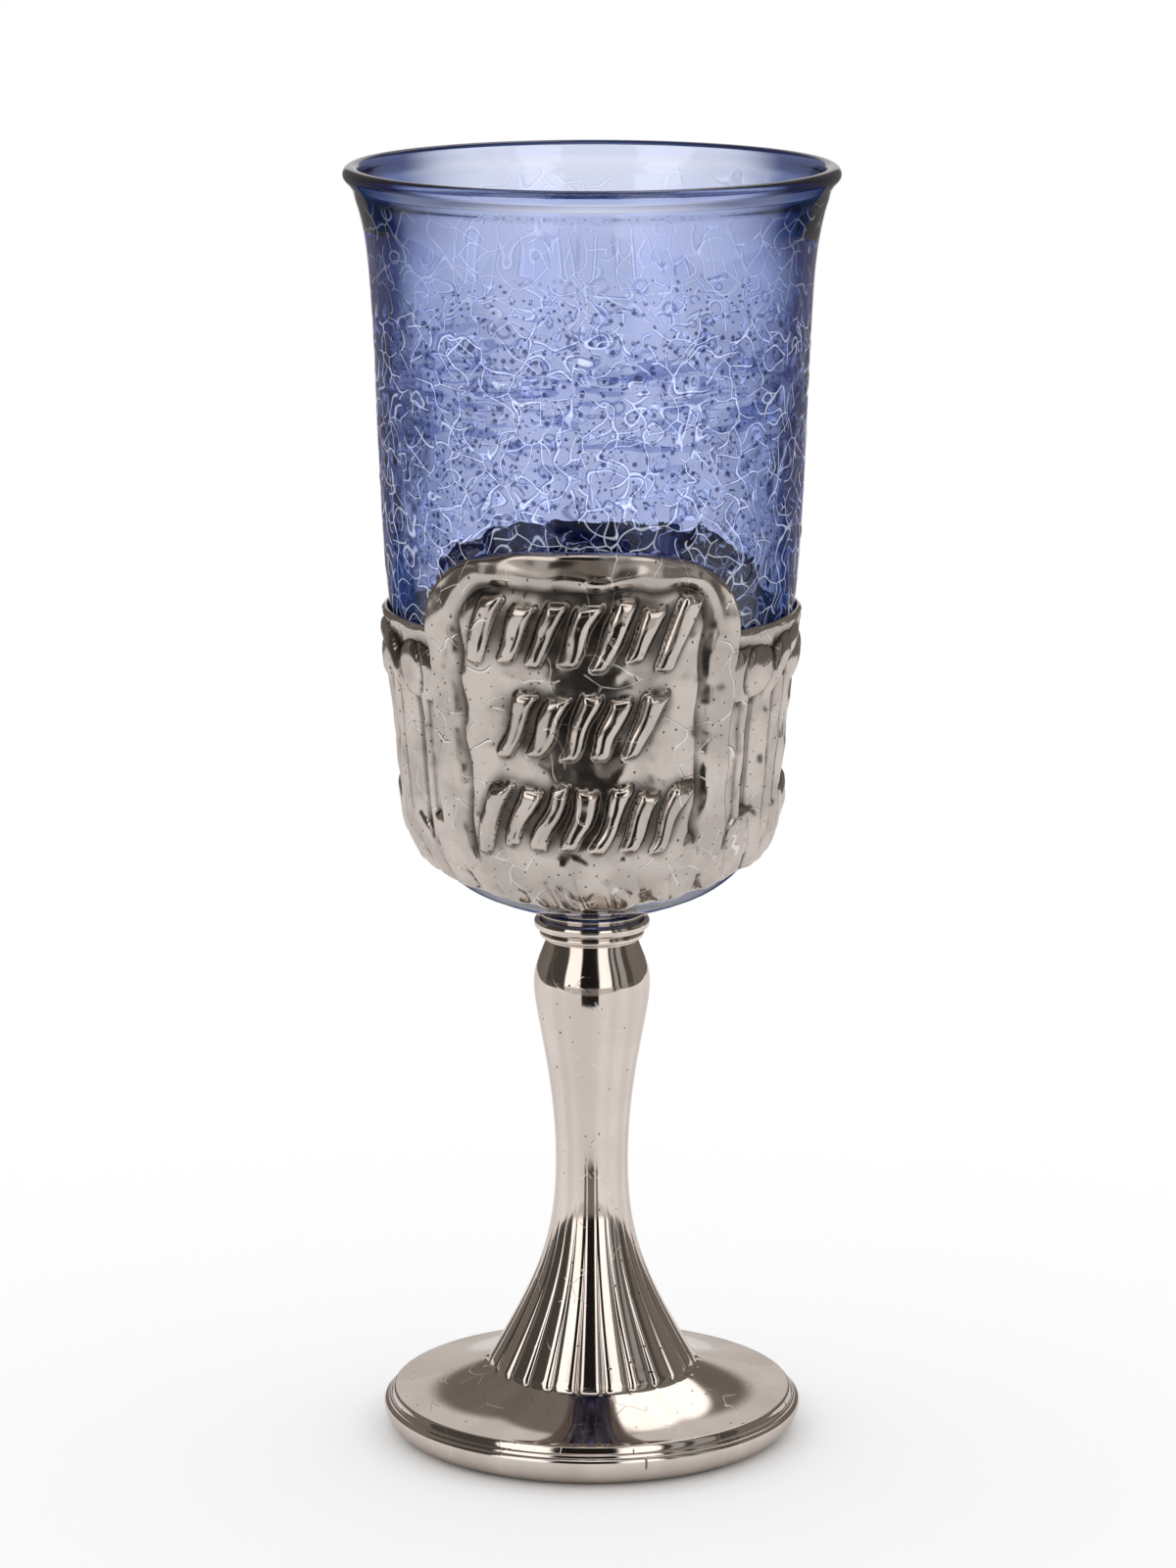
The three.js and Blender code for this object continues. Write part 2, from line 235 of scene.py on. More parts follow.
def skin_of(rings, radius):
    """Coordinates over a ring surface in millimetres: along, the azimuth times a steady
    radius; up, the length of the path from ring to ring at the first column."""
    rows, columns, _ = rings.shape
    steps = np.linalg.norm(np.diff(rings[:, 0], axis=0), axis=1)
    up = np.concatenate([[0], np.cumsum(steps)])[:, None]
    angle = np.arctan2(rings[:, :, 0], -rings[:, :, 1])
    angle = np.unwrap(np.concatenate([angle, angle[:, :1] + 2 * math.pi], 1), axis=1)
    return np.stack(np.broadcast_arrays(radius * angle, up), -1)


# ---- glass beaker --------------------------------------------------------------------

def glass_waves(azimuth, z):
    """How far the beaker's outside stands out of true: low swells everywhere, and in the
    crackled belt fine waves, worm-like ridges along a random field's zero lines, long
    level streaks near its top and some round blisters."""
    belt = smooth(z, 124, 130) * smooth(z, 169, 163)
    upper = smooth(z, 150, 154) * smooth(z, 163, 159)
    swell = 0.024 * ripples(azimuth, z, 14, 11)
    fine = 0.007 * ripples(azimuth, z, 3.2, 12) + 0.003 * ripples(azimuth, z, 1.9, 13)
    field = ripples(azimuth, z, 5.0, 14)
    worms = 0.022 * np.exp(-(field / 0.16) ** 2)
    streaks = 0.040 * ripples(azimuth, z, 2.6, 15, stretch=4.5) * upper
    blisters = np.zeros_like(fine)
    draw = np.random.default_rng(16)
    turns = draw.uniform(-math.pi, math.pi, BLISTERS)
    heights = draw.uniform(128, 165, BLISTERS)
    radii = draw.uniform(0.6, 1.5, BLISTERS)
    for at, height, radius in zip(turns, heights, radii):
        along = (np.mod(azimuth - at + math.pi, 2 * math.pi) - math.pi) * SLEEVE_R
        inside = 1 - (along ** 2 + (z - height) ** 2) / radius ** 2
        blisters = np.maximum(blisters, 0.09 * np.maximum(inside, 0))
    return swell + belt * (fine + worms + blisters) + streaks


def make_glass():
    """The beaker: its outside from the base's middle to the rim, and its inside back."""
    azimuth = np.linspace(0, 2 * math.pi, 400, endpoint=False)[None, :]
    joint = -math.degrees(JOINT)
    base = np.linspace(1.2, 16.0, 9)
    low = np.concatenate([np.stack([base, base_height(base)], -1),
                          arc(CORNER_R, CORNER_Z, CORNER_ARC, joint, -6, 14)])
    wall_z = np.concatenate([np.arange(96, 126, 1.5), np.arange(126, 168, 0.44),
                             np.arange(168.5, 182.3, 0.7)])
    crease = 0.14 * np.exp(-((wall_z - 181.3) / 0.7) ** 2)
    wall = np.stack([bowl_radius(wall_z) - crease, wall_z], -1)
    rim = arc(RIM_R, RIM_Z, RIM_TUBE, -42, 178, 18)
    inner_z = np.concatenate([np.arange(182.6, 178, -0.6), np.arange(177.5, 96, -2.4)])
    hollow = 0.30 * np.exp(-((inner_z - 181.7) / 0.8) ** 2)
    thicker = 0.45 * np.exp(-((inner_z - 175.0) / 4.0) ** 2)
    inner = np.stack([bowl_radius(inner_z) - GLASS_WALL - thicker + hollow, inner_z], -1)
    floor_arc = arc(CORNER_R, CORNER_Z, CORNER_ARC - GLASS_WALL, -12, joint, 9)
    floor_r = np.array([10.0, 6.5, 3.0, 1.0])
    floor = np.stack([floor_r, base_height(floor_r) + GLASS_WALL], -1)
    profile = np.concatenate([low, wall, rim, inner, floor_arc, floor])
    radius = np.repeat(profile[:, :1], azimuth.size, 1)
    height = profile[:, 1:]
    first, last = len(low), len(low) + len(wall)
    radius[first:last] += glass_waves(azimuth, height[first:last])
    ripple = 0.05 * ripples(azimuth, height, 22, 17)
    top, bottom = last + len(rim), last + len(rim) + len(inner)
    radius[top:bottom] += ripple[top:bottom]
    rings = around(radius, height, azimuth)
    skin = skin_of(rings, SLEEVE_R)
    skin[:, :, 1] = height
    skin[last + len(rim) // 2:, :, 1] += INSIDE_SKIN
    return ring_mesh("glass_beaker", rings, skin, (GLASS_BASE, GLASS_BASE + GLASS_WALL))


# ---- relief sleeve -------------------------------------------------------------------

def arch(away, half, height, roundness):
    """An arch's height at an angle from its middle: height * sqrt(1 - (away / half) ^ roundness)."""
    return height * np.sqrt(np.maximum(1 - (away / half) ** roundness, 0))


def top_edge(azimuth):
    """Height of the sleeve's top at an azimuth in degrees: in front the tablet's
    round-cornered outline, a level band at the sides and a lower, wider arch behind."""
    away = np.abs(azimuth)
    front = arch(away, TABLET_HALF, TABLET_TOP - BAND_TOP, 3.2)
    return BAND_TOP + front + arch(np.abs(180 - away), BACK_HALF, BACK_TOP - BAND_TOP, 2.6)


def low_edge(azimuth):
    """Height of the sleeve's lower edge: lowest in front and at the back, where it runs
    under the beaker, and raised as sin(azimuth) ^ 2 at the sides."""
    return SLEEVE_LOW + SLEEVE_LIFT * np.sin(np.radians(azimuth)) ** 2


def stroke(x, z, at, height, half, slant=22.0):
    """One slanted dash of the given half height, broader and higher at its top."""
    up = z - height
    across = (x - at - up * math.tan(math.radians(slant))) * math.cos(math.radians(slant))
    broad = DASH_HALF_WIDE * (1 + 0.16 * up / half)
    outline = round_box(across, up, broad, half, 0.6)
    return (1.20 + 0.30 * up / half) * pillow(-outline, 1.2)


def dashes(x, z):
    """Three rows of dashes, all slanted alike, every second one a little shorter."""
    total = np.zeros_like(x)
    for height, count in DASH_ROWS:
        for index in range(count):
            at = (index - (count - 1) / 2) * DASH_PITCH
            total = np.maximum(total, stroke(x, z, at, height, DASH_SHORT if index % 2 else DASH_LONG))
    return total


def lobe(x, z, at, height, half_x, half_z, turn, rise):
    """A rounded boss: an ellipse turned by `turn` degrees, with a quarter-round side."""
    c, s = math.cos(math.radians(turn)), math.sin(math.radians(turn))
    u = (x - at) * c + (z - height) * s
    v = (z - height) * c - (x - at) * s
    depth = 1 - np.hypot(u / half_x, v / half_z)
    return rise * pillow(depth, 0.75)


def capital(x, z):
    """A scroll capital centred on x = 0: two rolled lobes, the larger one creased, a fold
    across them, and a small hanging drop towards the tablet."""
    up = z - SCROLL_Z
    large = lobe(x, up, -7.6, 0.0, 6.2, 3.9, 8, 1.05)
    small = lobe(x, up, 6.2, -0.2, 5.0, 3.0, -6, 0.95)
    fold = lobe(x, up, -0.6, 0.8, 2.1, 5.0, -32, 1.25)
    leaf = lobe(x, up, 2.4, 3.1, 4.2, 1.7, 24, 0.95)
    shape = np.maximum(np.maximum(large, small), np.maximum(fold, leaf))
    crease = np.exp(-((x + 9.2 - 0.12 * up ** 2) / 0.45) ** 2)
    shape = shape - 0.5 * crease * (large > 0.3)
    drop = np.abs(round_box(x + 16.0, up + 5.2, 1.3, 2.9, 1.3)) - 0.42
    return np.maximum(shape, 0.55 * pillow(-drop, 0.42))


def carving(azimuth, z):
    """How far the carving stands proud of the sleeve's plain surface, in millimetres:
    the largest of frame, dashes, columns, capitals and petals, on a softly uneven field."""
    angle = np.radians(azimuth)
    x = SLEEVE_R * angle + 0.22 * ripples(angle, z, 9, 21)
    z = z + 0.20 * ripples(angle, z, 8, 22)
    away = np.abs(x)
    to_side = SLEEVE_R * math.radians(TABLET_HALF) - away
    slope = (top_edge(azimuth + 0.2) - top_edge(azimuth - 0.2)) / (SLEEVE_R * math.radians(0.4))
    to_top = (top_edge(azimuth) - z) / np.sqrt(1 + slope ** 2)
    inside = np.where(to_side > 0, np.minimum(to_side, to_top), to_side)
    panel = round_box(x, z - PANEL_Z, PANEL_HALF_X, PANEL_HALF_Z, PANEL_CORNER)
    rounding = pillow(np.maximum(inside, 0), 0.8) * smooth(z, 86.5, 89.5)
    frame_flat = 0.75 * rounding * smooth(panel, -0.5, 2.0)
    bead = 0.14 * np.exp(-((panel - 1.9) / 1.0) ** 2) * smooth(inside, 0.3, 1.5)
    cushion = 0.62 * pillow(-panel - 0.3, 3.2)
    height = frame_flat + bead + cushion
    height = height + dashes(x, z) * (panel < 0.4)
    side = np.where(np.abs(azimuth) > 90, 180 - np.abs(azimuth), np.abs(azimuth))
    off = SLEEVE_R * np.radians(side - COLUMN_AT)
    shaft = smooth(z, 89.0, 92.5) * smooth(z, 116.5, 114.0) * (inside < 0)
    ribs = 0.60 + 0.40 * np.abs(np.cos(math.pi * off / COLUMN_RIB))
    column = COLUMN_RISE * ribs * np.sqrt(np.clip(1 - np.abs(off / COLUMN_HALF) ** 3, 0, 1))
    ridge = 0.5 * np.sqrt(np.clip(1 - ((off + 8.3) / 0.75) ** 2, 0, 1))
    height = np.maximum(height, shaft * np.maximum(column, ridge))
    height = np.maximum(height, capital(off, z) * (inside < 1.5))
    rise = path(z) - path(low_edge(azimuth))
    lean = 0.03 * (rise - 4)
    # two rows of petals, the upper one half a petal further round
    for shift, middle, half, wide, proud in ((0.0, 3.6, 4.4, 0.50, 0.60), (0.5, 8.0, 4.2, 0.45, 0.75)):
        across = np.mod(angle * PETALS / (2 * math.pi) + shift + lean, 1) - 0.5
        depth = 1 - np.hypot(across / wide, (rise - middle) / half)
        leaf = proud * pillow(depth, 0.45) - 0.22 * np.exp(-(across / 0.06) ** 2)
        height = np.maximum(height, leaf * smooth(rise, 0.2, 1.6))
    edge = 0.14 * np.exp(-((z - 121.6) / 0.7) ** 2) * (inside < 0)
    height = np.maximum(height, edge)
    uneven = 0.062 * ripples(angle, z, 6.5, 23) + 0.012 * ripples(angle, z, 2.6, 24)
    return height + uneven + 0.06


def sleeve_columns():
    """Azimuths of the sleeve's columns, in degrees: close together over the tablet and
    closest at its sides, wider apart towards the back."""
    half = np.concatenate([np.arange(0.25, 45.0, 0.5), np.arange(45.0, 48.2, 0.2),
                           np.arange(48.4, 96, 0.72), np.arange(96.4, 179.5, 1.25)])
    return np.concatenate([-half[::-1], half, [180.0]])


def blurred(field, times):
    """The field evened out with its neighbours, round the cup and up it, many times."""
    for _ in range(times):
        field = (np.roll(field, 1, 1) + np.roll(field, -1, 1) + 2 * field) / 4
        padded = np.vstack([field[:1], field, field[-1:]])
        field = (padded[:-2] + padded[2:] + 2 * field) / 4
    return field


def make_sleeve():
    """The sleeve once round: up its carved face, over its top edge, down its plain inside
    and round its thin lower edge. The painted shade kept at its points is how deep a place lies below its
    surroundings, and full over the inside."""
    azimuth = sleeve_columns()[None, :]
    low, high = low_edge(azimuth), top_edge(azimuth)
    split = BAND_TOP - 1.3
    start = path(low)
    lower = start + (path(split) - start) * np.linspace(0, 1, 134)[:, None]
    upper = np.linspace(0, 1, 44)[1:, None]
    z = np.concatenate([np.interp(lower, PATH, PATH_Z), split + (high - split) * upper])
    proud = carving(azimuth, z)
    near = blurred(proud, 12)
    wide = blurred(near, 44)
    # painted shade in the hollows: darker the further a place lies below its evened-out surroundings
    deep = np.maximum(0.85 * smooth(near - proud, 0.03, 0.25), smooth(wide - proud, 0.02, 0.50))
    deep = deep * smooth(high - z, 0.3, 2.6) * smooth(path(z) - start, 0.0, 2.5)
    thin = smooth(path(z) - start, 0, 1.6)
    crown = 1 - 0.75 * (1 - pillow(np.maximum(high - z, 0), 0.55))
    out = GAP + (SLEEVE_WALL * (0.35 + 0.65 * thin) + np.maximum(proud, 0) * (0.3 + 0.7 * thin)) * crown
    radius, height = bowl_point(z, out)
    rows = len(z)
    back = np.linspace(1, 0, 14)[:, None]
    inner_z = np.interp(start + (path(high) - start) * back, PATH, PATH_Z)
    inner_r, inner_h = bowl_point(inner_z, GAP * np.ones_like(inner_z))
    angle = np.radians(azimuth)
    rings = np.concatenate([around(radius, height, angle), around(inner_r, inner_h, angle)])
    # the inside gets the full painted shade
    patina = np.concatenate([deep, np.ones_like(inner_r)])
    hidden = np.zeros((len(rings), azimuth.size))
    hidden[rows:] = 1
    return ring_mesh("silver_sleeve_carved", rings, skin_of(rings, SLEEVE_R), patina=patina, hidden=hidden)


# ---- stem and foot -------------------------------------------------------------------

def make_stem():
    """Foot, fluted stem, knop and collar in one turned piece. Flutes are convex lobes:
    the radius falls by depth * (1 - |cos(12 a)|) ^ 3 between their crests, and the
    depth fades up the flare as exp(-(z / 10) ^ 1.2) above their lower end."""
    columns = FLUTES * 16
    azimuth = (np.arange(columns) * 2 * math.pi / columns + math.radians(FLUTE_TURN))[None, :]
    underside_r = np.concatenate([np.linspace(1.0, 23.6, 40), [24.0, 24.6, 25.2, 25.8]])
    recess = 0.9 * smooth(underside_r, 25.4, 23.8)
    turned = 0.06 * np.cos(underside_r * 2 * math.pi / 2.26) * smooth(underside_r, 23.6, 22.0)
    underside = np.stack([underside_r, recess + turned], -1)
    quarter = arc(FOOT_R - FOOT_EDGE, FOOT_EDGE, FOOT_EDGE, -90, 0, 16)
    # two rolled steps between the rounded edge and the dished disc
    edge = np.array([(30.38, 4.05), (30.30, 4.25), (30.12, 4.42), (29.92, 4.48), (29.80, 4.50),
                     (29.76, 4.60), (29.72, 4.78), (29.62, 4.92), (29.48, 4.99), (29.38, 4.98),
                     (29.30, 5.00), (29.24, 5.12), (29.14, 5.40), (29.06, 5.68), (28.98, 5.86),
                     (28.84, 5.96), (28.66, 5.99), (28.40, 6.01)])
    disc_r = np.linspace(28.0, FLUTE_END_R + 0.35, 26)
    disc = np.stack([disc_r, 5.95 + 3.55 * ((28.8 - disc_r) / 13.8) ** 1.5], -1)
    flare = bezier([(FLUTE_END_R, FLUTE_END_Z), (8.2, 22), (5.25, 28), (5.25, 40)], 64)
    shaft = bezier([(5.25, 40), (5.25, 53), (8.4, 62), (8.4, 66.8)], 36)[1:]
    knop = bezier([(8.4, 66.8), (8.4, 69.6), (7, 71.8), (6.6, 73.4)], 22)[1:]
    ring = arc(6.95, 74.15, 0.6, -75, 62, 9)
    thread = [(7.55, 76.72), (7.36, 76.78), (7.42, 76.9), (7.54, 77.08), (7.50, 77.28), (7.36, 77.38)]
    bead = np.concatenate([arc(7.3, 75.75, 1.05, -66, 62, 14), thread])
    seat_r = np.array([6.9, 5.6, 4.0, 2.2, 1.0])
    seat = np.stack([seat_r, base_height(seat_r) - 0.3], -1)
    profile = np.concatenate([underside, quarter, edge, disc, flare, shaft, knop, ring, bead, seat])
    z = profile[:, 1:]
    depth = np.zeros_like(z)
    start = len(underside) + len(quarter) + len(edge) + len(disc)
    stop = start + len(flare) + len(shaft) + len(knop)
    body = z[start:stop]
    above = (body - FLUTE_END_Z) / FLUTE_FADE
    depth[start:stop] = FLUTE_DEPTH * np.exp(-above ** 1.2) + 0.012 * smooth(body, 48, 36)
    wave = np.abs(np.cos((azimuth - math.radians(FLUTE_TURN)) * FLUTES / 2))
    radius = profile[:, :1] - depth * (1 - wave) ** 3
    step = start - 1
    radius[step] = radius[start] + 0.12
    height = np.repeat(z, azimuth.size, 1)
    height[step] = 9.45
    rings = around(radius, height, azimuth)
    skin = skin_of(rings, 8.0)
    flat = rings[:start, :, :2]
    skin[:start] = np.concatenate([flat, flat[:, :1]], 1)
    return ring_mesh("stem_and_foot_turned", rings, skin, (0.9, GLASS_BASE - 0.3))


# ---- shader nodes --------------------------------------------------------------------

class Nodes:
    """A node tree with short ways to add and join nodes; a number or a tuple sets a
    socket, anything else is linked to it."""

    def __init__(self, tree):
        self.tree = tree
        tree.nodes.clear()

    def add(self, kind, inputs=None, **settings):
        node = self.tree.nodes.new(kind)
        for key, value in settings.items():
            setattr(node, key, value)
        for key, value in (inputs or {}).items():
            self.put(node.inputs[key], value)
        return node

    def put(self, socket, value):
        if isinstance(value, (int, float, tuple)):
            socket.default_value = value
        else:
            self.tree.links.new(value, socket)

    def math(self, operation, a, b=0.0, clamp=False):
        node = self.add("ShaderNodeMath", {0: a, 1: b}, operation=operation, use_clamp=clamp)
        return node.outputs[0]

    def vector(self, operation, a, b=(0.0, 0.0, 0.0), scale=None):
        node = self.add("ShaderNodeVectorMath", {0: a, 1: b}, operation=operation)
        if scale is not None:
            self.put(node.inputs["Scale"], scale)
        return node.outputs[0]

    def step(self, value, low, high, smooth_step=True, start=0.0, stop=1.0):
        """Goes from start to stop while value goes from low to high, flat outside."""
        kind = "SMOOTHSTEP" if smooth_step else "LINEAR"
        node = self.add("ShaderNodeMapRange", {"Value": value, "From Min": low, "From Max": high,
                                               "To Min": start, "To Max": stop}, interpolation_type=kind)
        return node.outputs[0]

    def between(self, value, low, high, soft):
        """1 between low and high, with edges `soft` wide."""
        rise = self.step(value, low - soft, low + soft)
        fall = self.step(value, high - soft, high + soft, start=1.0, stop=0.0)
        return self.math("MULTIPLY", rise, fall)

    def mix(self, share, a, b):
        """Colour a where share is 0, b where it is 1."""
        node = self.add("ShaderNodeMix", {0: share, 6: a, 7: b}, data_type="RGBA")
        return node.outputs[2]

    def noise(self, vector, scale, detail=2.0, roughness=0.5):
        return self.add("ShaderNodeTexNoise", {"Vector": vector, "Scale": scale, "Detail": detail,
                                               "Roughness": roughness}, noise_dimensions="2D")


def new_group(name, inputs, outputs):
    """An empty node group: inputs are (name, kind, value), outputs are (name, kind)."""
    tree = bpy.data.node_groups.new(name, "ShaderNodeTree")
    for label, kind, value in inputs:
        socket = tree.interface.new_socket(label, in_out="INPUT", socket_type=kind)
        if value is not None:
            socket.default_value = value
    for label, kind in outputs:
        tree.interface.new_socket(label, in_out="OUTPUT", socket_type=kind)
    nodes = Nodes(tree)
    return tree, nodes, nodes.add("NodeGroupInput").outputs, nodes.add("NodeGroupOutput").inputs


FLOAT, VECTOR = "NodeSocketFloat", "NodeSocketVector"
PLACE_INPUTS = [("Skin", VECTOR, None), ("Shift", FLOAT, 0.0)]


def place_on_skin(n, given):
    """The surface's own map in millimetres, moved by Shift both ways."""
    return n.vector("ADD", n.vector("SCALE", given["Skin"], scale=1000.0),
                    n.add("ShaderNodeCombineXYZ", {0: given["Shift"], 1: given["Shift"]}).outputs[0])


def patches(n, place, rate, share):
    """1 in patches of a noise of the given rate, which cover about the given share."""
    keep = n.noise(place, rate, 0.0).outputs["Fac"]
    limit = n.step(share, 0.0, 1.0, False, 0.72, 0.28)
    return n.step(keep, limit, n.math("ADD", limit, 0.05))


def crack_group():
    """Fine cracks: borders of cells of the given size in millimetres on the surface's
    own map, bent by a noise, Width wide, kept only where a second noise is high. Side is
    the narrow strip along each crack."""
    tree, n, given, result = new_group(
        "fine_cracks",
        PLACE_INPUTS + [("Cell", FLOAT, 3.0), ("Bend", FLOAT, 1.0), ("Width", FLOAT, 0.15),
                        ("Share", FLOAT, 0.6)],
        [("Line", FLOAT), ("Side", FLOAT)])
    place = place_on_skin(n, given)
    rate = n.math("DIVIDE", 1.0, given["Cell"])
    bend = n.noise(place, n.math("MULTIPLY", rate, 0.9), 0.0)
    push = n.vector("SUBTRACT", bend.outputs["Color"], (0.5, 0.5, 0.5))
    bent = n.vector("ADD", place, n.vector("SCALE", push, scale=n.math("MULTIPLY", given["Bend"], 4.0)))
    cells = n.add("ShaderNodeTexVoronoi", {"Vector": bent, "Scale": rate},
                  voronoi_dimensions="2D", feature="DISTANCE_TO_EDGE")
    apart = n.math("MULTIPLY", cells.outputs["Distance"], given["Cell"])
    line = n.step(apart, given["Width"], n.math("MULTIPLY", given["Width"], 0.35))
    wide = n.step(apart, n.math("MULTIPLY", given["Width"], 1.9), n.math("MULTIPLY", given["Width"], 1.2))
    kept = patches(n, place, n.math("MULTIPLY", rate, 0.8), given["Share"])
    n.put(result["Line"], n.math("MULTIPLY", line, kept))
    n.put(result["Side"], n.math("MULTIPLY", n.math("SUBTRACT", wide, line), kept))
    return tree


def pit_group():
    """Pits: round spots of Radius millimetres about one scattered point in each cell of
    Pitch millimetres, in a Share of the cells. Ring is the narrow border round a pit."""
    tree, n, given, result = new_group(
        "round_pits",
        PLACE_INPUTS + [("Pitch", FLOAT, 2.0), ("Radius", FLOAT, 0.15), ("Share", FLOAT, 0.6)],
        [("Pit", FLOAT), ("Ring", FLOAT)])
    place = place_on_skin(n, given)
    cells = n.add("ShaderNodeTexVoronoi", {"Vector": place, "Scale": n.math("DIVIDE", 1.0, given["Pitch"])},
                  voronoi_dimensions="2D", feature="F1")
    apart = n.math("MULTIPLY", cells.outputs["Distance"], given["Pitch"])
    pick = n.add("ShaderNodeSeparateColor", {"Color": cells.outputs["Color"]})
    chosen = n.math("LESS_THAN", pick.outputs[0], given["Share"])
    size = n.math("MULTIPLY", given["Radius"], n.step(pick.outputs[1], 0.0, 1.0, False, 0.6, 1.4))
    pit = n.step(apart, size, n.math("MULTIPLY", size, 0.6))
    far = n.step(apart, n.math("MULTIPLY", size, 1.45), n.math("MULTIPLY", size, 1.15))
    n.put(result["Pit"], n.math("MULTIPLY", pit, chosen))
    n.put(result["Ring"], n.math("MULTIPLY", n.math("SUBTRACT", far, pit), chosen))
    return tree


def swirl_group():
    """Swirling marks: level lines of a smooth noise of Size millimetres, Levels of them
    over its range, kept near the noise's middle and broken up by a second noise. Side is
    the strip on their upper side."""
    tree, n, given, result = new_group(
        "swirls",
        PLACE_INPUTS + [("Size", FLOAT, 5.0), ("Levels", FLOAT, 4.0), ("Width", FLOAT, 0.15),
                        ("Share", FLOAT, 0.6)],
        [("Line", FLOAT), ("Side", FLOAT)])
    place = place_on_skin(n, given)
    rate = n.math("DIVIDE", 1.0, given["Size"])
    field = n.noise(place, rate, 0.6).outputs["Fac"]
    level = n.math("SUBTRACT", n.math("FRACT", n.math("MULTIPLY", field, given["Levels"])), 0.5)
    past = n.math("SUBTRACT", n.math("ABSOLUTE", level), given["Width"])
    middle = n.step(n.math("ABSOLUTE", n.math("SUBTRACT", field, 0.5)), 0.13, 0.11)
    line = n.math("MULTIPLY", n.step(past, 0.04, -0.04), middle)
    upper = n.math("SUBTRACT", level, given["Width"])
    strip = n.math("MULTIPLY", n.step(upper, 0.0, 0.04), n.step(upper, 0.16, 0.11))
    side = n.math("MULTIPLY", strip, middle)
    kept = patches(n, place, n.math("MULTIPLY", rate, 1.3), given["Share"])
    n.put(result["Line"], n.math("MULTIPLY", line, kept))
    n.put(result["Side"], n.math("MULTIPLY", side, kept))
    return tree


CRACKS, PITS, SWIRLS = crack_group(), pit_group(), swirl_group()


def place_group(n, tree, **values):
    """A node of the given group with its inputs set or linked; gives its outputs."""
    node = n.add("ShaderNodeGroup", node_tree=tree)
    for key, value in values.items():
        n.put(node.inputs[key], value)
    return node.outputs


SILVER, SILVER_CLOUDED = (0.700, 0.628, 0.578), (0.650, 0.580, 0.532)
SILVER_STREAK = (0.56, 0.495, 0.445)
# a pale hairline colour, a painted highlight, and near black for painted shade in hollows and pits
HAIRLINE_GLINT, HOLLOW_SHADE_DARK, PIT_SHADE = (0.86, 0.83, 0.80, 1), (0.040, 0.033, 0.028, 1), (0.05, 0.04, 0.035, 1)
# painted shade for the sleeve's inside
INSIDE_SHADE_BLUE = (0.04, 0.07, 0.19, 1)  # the sleeve's inside, seen through the glass


def shaded_by(colour, share):
    """A colour made darker by a share, with its alpha."""
    return (*[part * share for part in colour], 1)


def new_material(name):
    """A material with an empty node tree, and the helper that fills it."""
    material = bpy.data.materials.new(name)
    material.use_nodes = True
    return material, Nodes(material.node_tree)


